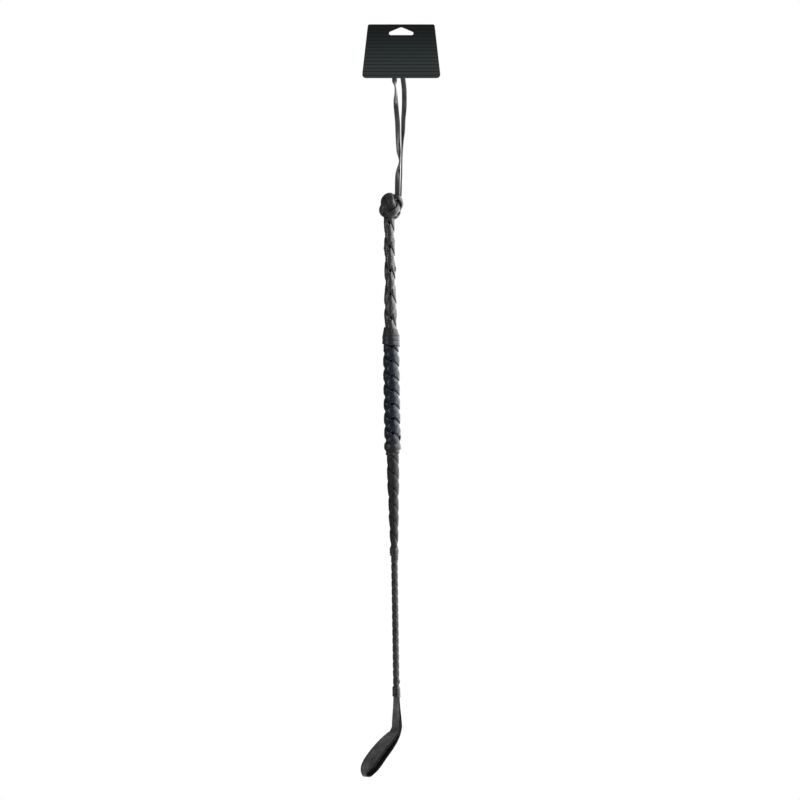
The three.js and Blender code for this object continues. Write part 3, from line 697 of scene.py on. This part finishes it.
def add_knot_filling(material):
    """The leather build-up that shows between the knot's laces, drawn darker than the lace as painted shade
    in the gaps: a shell round the wooden core, open below.
    """
    circles = []
    for step in range(FILLING_STEPS + 1):
        latitude = math.radians(FILLING_TOP - (FILLING_TOP - FILLING_BOTTOM) * step / FILLING_STEPS)
        radius = (KNOT_RADIUS - FILLING_DEPTH) * math.cos(latitude)
        station = KNOT_STATION - (KNOT_HALF_HEIGHT - FILLING_DEPTH) * math.sin(latitude)
        circles.append((FILLING_SHIFT * math.cos(latitude), radius, station))
    circles += [(0, radius, station) for radius, station in FILLING_INSIDE]
    turns = [TURN * side / FILLING_SIDES for side in range(FILLING_SIDES)]
    rings = []
    for shift, radius, station in circles:
        corners = [(shift + radius * math.cos(turn), radius * math.sin(turn)) for turn in turns]
        rings.append([crop_point(x, y, station) for x, y in corners])
    piece = skin("knot_filling", rings, material, turn_over=True)
    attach(piece, "crop")


# ---------------------------------------------------------------- keeper

def keeper_place(x, y, down):
    """World place of a point near the elbow: x across the keeper's strip, y through it, down the crop."""
    turned = Matrix.Rotation(KEEPER_YAW, 4, "Z") @ Vector((x, y, 0))
    return crop_point(turned.x, turned.y, ELBOW_STATION + down)


def keeper_droop(distance):
    past = max(0, distance - KEEPER_DROOP_START)
    return KEEPER_DROOP * (past / (KEEPER_LENGTH - KEEPER_DROOP_START)) ** 2


def bend_down(y, distance):
    """From the loop's own frame to the root's: y through the strip, and down."""
    return (y * math.cos(KEEPER_BEND) - distance * math.sin(KEEPER_BEND),
            y * math.sin(KEEPER_BEND) + distance * math.cos(KEEPER_BEND))


def leaf_rows(side):
    """Middle line of one leaf: y, down, half width, edge curl, from the root's top to the fold."""
    rows = []
    for step in range(ROOT_STEPS + 1):
        height = ROOT_HEIGHT - (ROOT_HEIGHT - ELBOW_REACH) * step / ROOT_STEPS
        half_width, half_thick, curl = (read_table(ROOT_TABLE, height, column) for column in (1, 2, 3))
        rows.append((side * (half_thick - KEEPER_LEATHER / 2), -height, half_width, side * -curl))
    for step in range(LOOP_STEPS + 1):
        distance = ELBOW_REACH + (KEEPER_FOLD_CENTRE - ELBOW_REACH) * step / LOOP_STEPS
        y = keeper_droop(distance) + side * (read_table(KEEPER_SWELL, distance) - KEEPER_LEATHER / 2)
        rows.append((*bend_down(y, distance), read_table(KEEPER_PLAN, distance), 0))
    return rows


def fold_rows():
    """The strip's middle line round the fold, from the front leaf to the back one."""
    reach = KEEPER_FOLD_RADIUS - KEEPER_LEATHER / 2
    rows = []
    for step in range(1, FOLD_STEPS):
        angle = (step / FOLD_STEPS - 0.5) * math.pi
        y = keeper_droop(KEEPER_FOLD_CENTRE) + reach * math.sin(angle)
        distance = KEEPER_FOLD_CENTRE + reach * math.cos(angle)
        rows.append((*bend_down(y, distance), read_table(KEEPER_PLAN, distance), 0))
    return rows


def keeper_ring(rows, place):
    y, down, half_width, curl = rows[place]
    behind, ahead = neighbours(rows, place)
    along = Vector((0, ahead[0] - behind[0], ahead[1] - behind[1])).normalized()
    thick = Vector((0, -along.z, along.y))

    def point_at(across, rise):
        slope = 2 * curl * across / half_width
        middle = Vector((across * half_width, y + curl * (across * across), down))
        normal = (thick + Vector((-slope * thick.y, 0, 0))).normalized()
        return keeper_place(*(middle + normal * rise * KEEPER_LEATHER / 2))

    return strip_ring(KEEPER_SECTION, point_at)


def add_keeper(material):
    """One strip of leather: down the front leaf, round the fold and back up the rear leaf."""
    rows = catmull(leaf_rows(-1) + fold_rows() + list(reversed(leaf_rows(1))), STRIP_STEPS)
    rings = [keeper_ring(rows, place) for place in range(len(rows))]
    outside = face_wear_and_painted_shade(KEEPER_SECTION)
    # The outer face's cut edges and the whole inner face are marked full, so the keeper's finish paints them
    # near-black: painted shade in the loop's opening.
    piece = skin("keeper_strip", rings, material, wear_and_painted_shade=outside + [1] * len(outside))
    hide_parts("keeper_root", "keeper_loop")
    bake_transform(piece)


# ---------------------------------------------------------------- light and floor

def add_light(name, place, size, power):
    data = bpy.data.lights.new(name, "AREA")
    data.size = size
    data.energy = power
    lamp = bpy.data.objects.new(name, data)
    lamp.location = place
    lamp.rotation_euler = (Vector(LAMP_AIM) - Vector(place)).to_track_quat("-Z", "Y").to_euler()
    bpy.context.scene.collection.objects.link(lamp)


def add_world():
    """White behind the object, and softer light that comes mostly from the right."""
    world = bpy.data.worlds.new("studio")
    world.use_nodes = True
    tree = world.node_tree
    seen = add_node(tree, "ShaderNodeLightPath").outputs["Is Camera Ray"]
    way = add_node(tree, "ShaderNodeTexCoord").outputs["Generated"]
    toward = add_node(tree, "ShaderNodeVectorMath", {0: way, 1: BRIGHT_SIDE}, operation="DOT_PRODUCT")
    glow = add_node(tree, "ShaderNodeMapRange", {
        "Value": toward.outputs["Value"], "From Min": GLOW_START, "From Max": GLOW_END,
        "To Min": DARK_SIDE_LIGHT, "To Max": BRIGHT_SIDE_LIGHT}, interpolation_type="SMOOTHSTEP")
    backdrop = tree.nodes["Background"]
    tree.links.new(mix(tree, seen, glow.outputs["Result"], (1, 1, 1, 1)), backdrop.inputs["Color"])
    bpy.context.scene.world = world
    bpy.context.scene.view_settings.view_transform = "Standard"


def add_studio():
    add_world()
    for name, (place, size, power) in LAMPS.items():
        add_light(name, place, size, power)
    corners = [(x * FLOOR_HALF, y * FLOOR_HALF, FLOOR_LEVEL) for x, y in ((-1, -1), (1, -1), (1, 1), (-1, 1))]
    mesh = bpy.data.meshes.new("floor")
    mesh.from_pydata(corners, [], [(0, 1, 2, 3)])
    floor = bpy.data.objects.new("floor", mesh)
    mesh.materials.append(plain_material("floor", (0.86, 0.86, 0.86, 1), (0.9, 0.9, 0.9, 1), 60, 0.6))
    bpy.context.scene.collection.objects.link(floor)


# ---------------------------------------------------------------- build

add_camera()
add_wrist_lace(leather("lace_leather", 0.035, rough=(0.35, 0.52), grain=1500, depth=0.00008))
add_knot(leather("knot_leather", 0.018, rough=(0.28, 0.42), grain=1300, shine=0.5))
# The filling's leather, darker than the knot's lace, is partly painted shade in the knot's gaps.
add_knot_filling(leather("knot_filling_painted_shade_leather", 0.008))
handle_look = leather("handle_leather", 0.02, rough=(0.26, 0.42), shine=0.6)
grip_look = leather("grip_leather", 0.006, blue=1.9, rough=(0.28, 0.42), shine=0.35)
shaft_look = leather("shaft_leather", 0.025, rough=(0.4, 0.55), shine=0.3)
add_plait("handle", handle_look)
add_plait("grip", grip_look)
add_plait("mid", leather("mid_leather", 0.013, rough=(0.4, 0.6), shine=0.25))
add_plait("lower", shaft_look)
add_tail("handle_tail", handle_look)
add_tail("handle_tail_low", handle_look)
add_tail("grip_tail", grip_look)
add_tail("mid_tail", shaft_look)
add_tail("shaft_tail", shaft_look)
tie_look = leather("tie_leather", 0.01, blue=0.3, rough=(0.28, 0.45), grain=1400, shine=0.4)
for tie_name in WINDINGS:
    add_winding(tie_name, tie_look)
# The keeper's near-black edge tone is painted shade on its cut edges and inner face.
add_keeper(leather("keeper_leather", 0.15, rough=(0.48, 0.65), grain=900, wear_and_painted_shade=1, worn_edge_and_painted_shade_tone=0.004,
                   edge_span=(0.3, 0.7), shine=0.2))
give_material("hang_card", card_material())
give_material("card_pin", plain_material("pin_plastic", grey(0.03), grey(0.05), 900, 0.5))
give_material("core_rod", plain_material(
    "rod_fibreglass", (0.6, 0.56, 0.42, 1), (0.75, 0.7, 0.55, 1), 700, 0.35, (1, 1, 0.05)))
give_material("knot_core", plain_material(
    "core_wood", (0.2, 0.11, 0.055, 1), (0.38, 0.24, 0.13, 1), 300, 0.6, (1, 1, 0.15)))
wrap_look = plain_material("wrap_tape", grey(0.012), grey(0.026), 1400, 0.85)
for wrap_name in ("handle_wrap", "grip_bolster", "mid_wrap"):
    give_material(wrap_name, wrap_look)
add_studio()
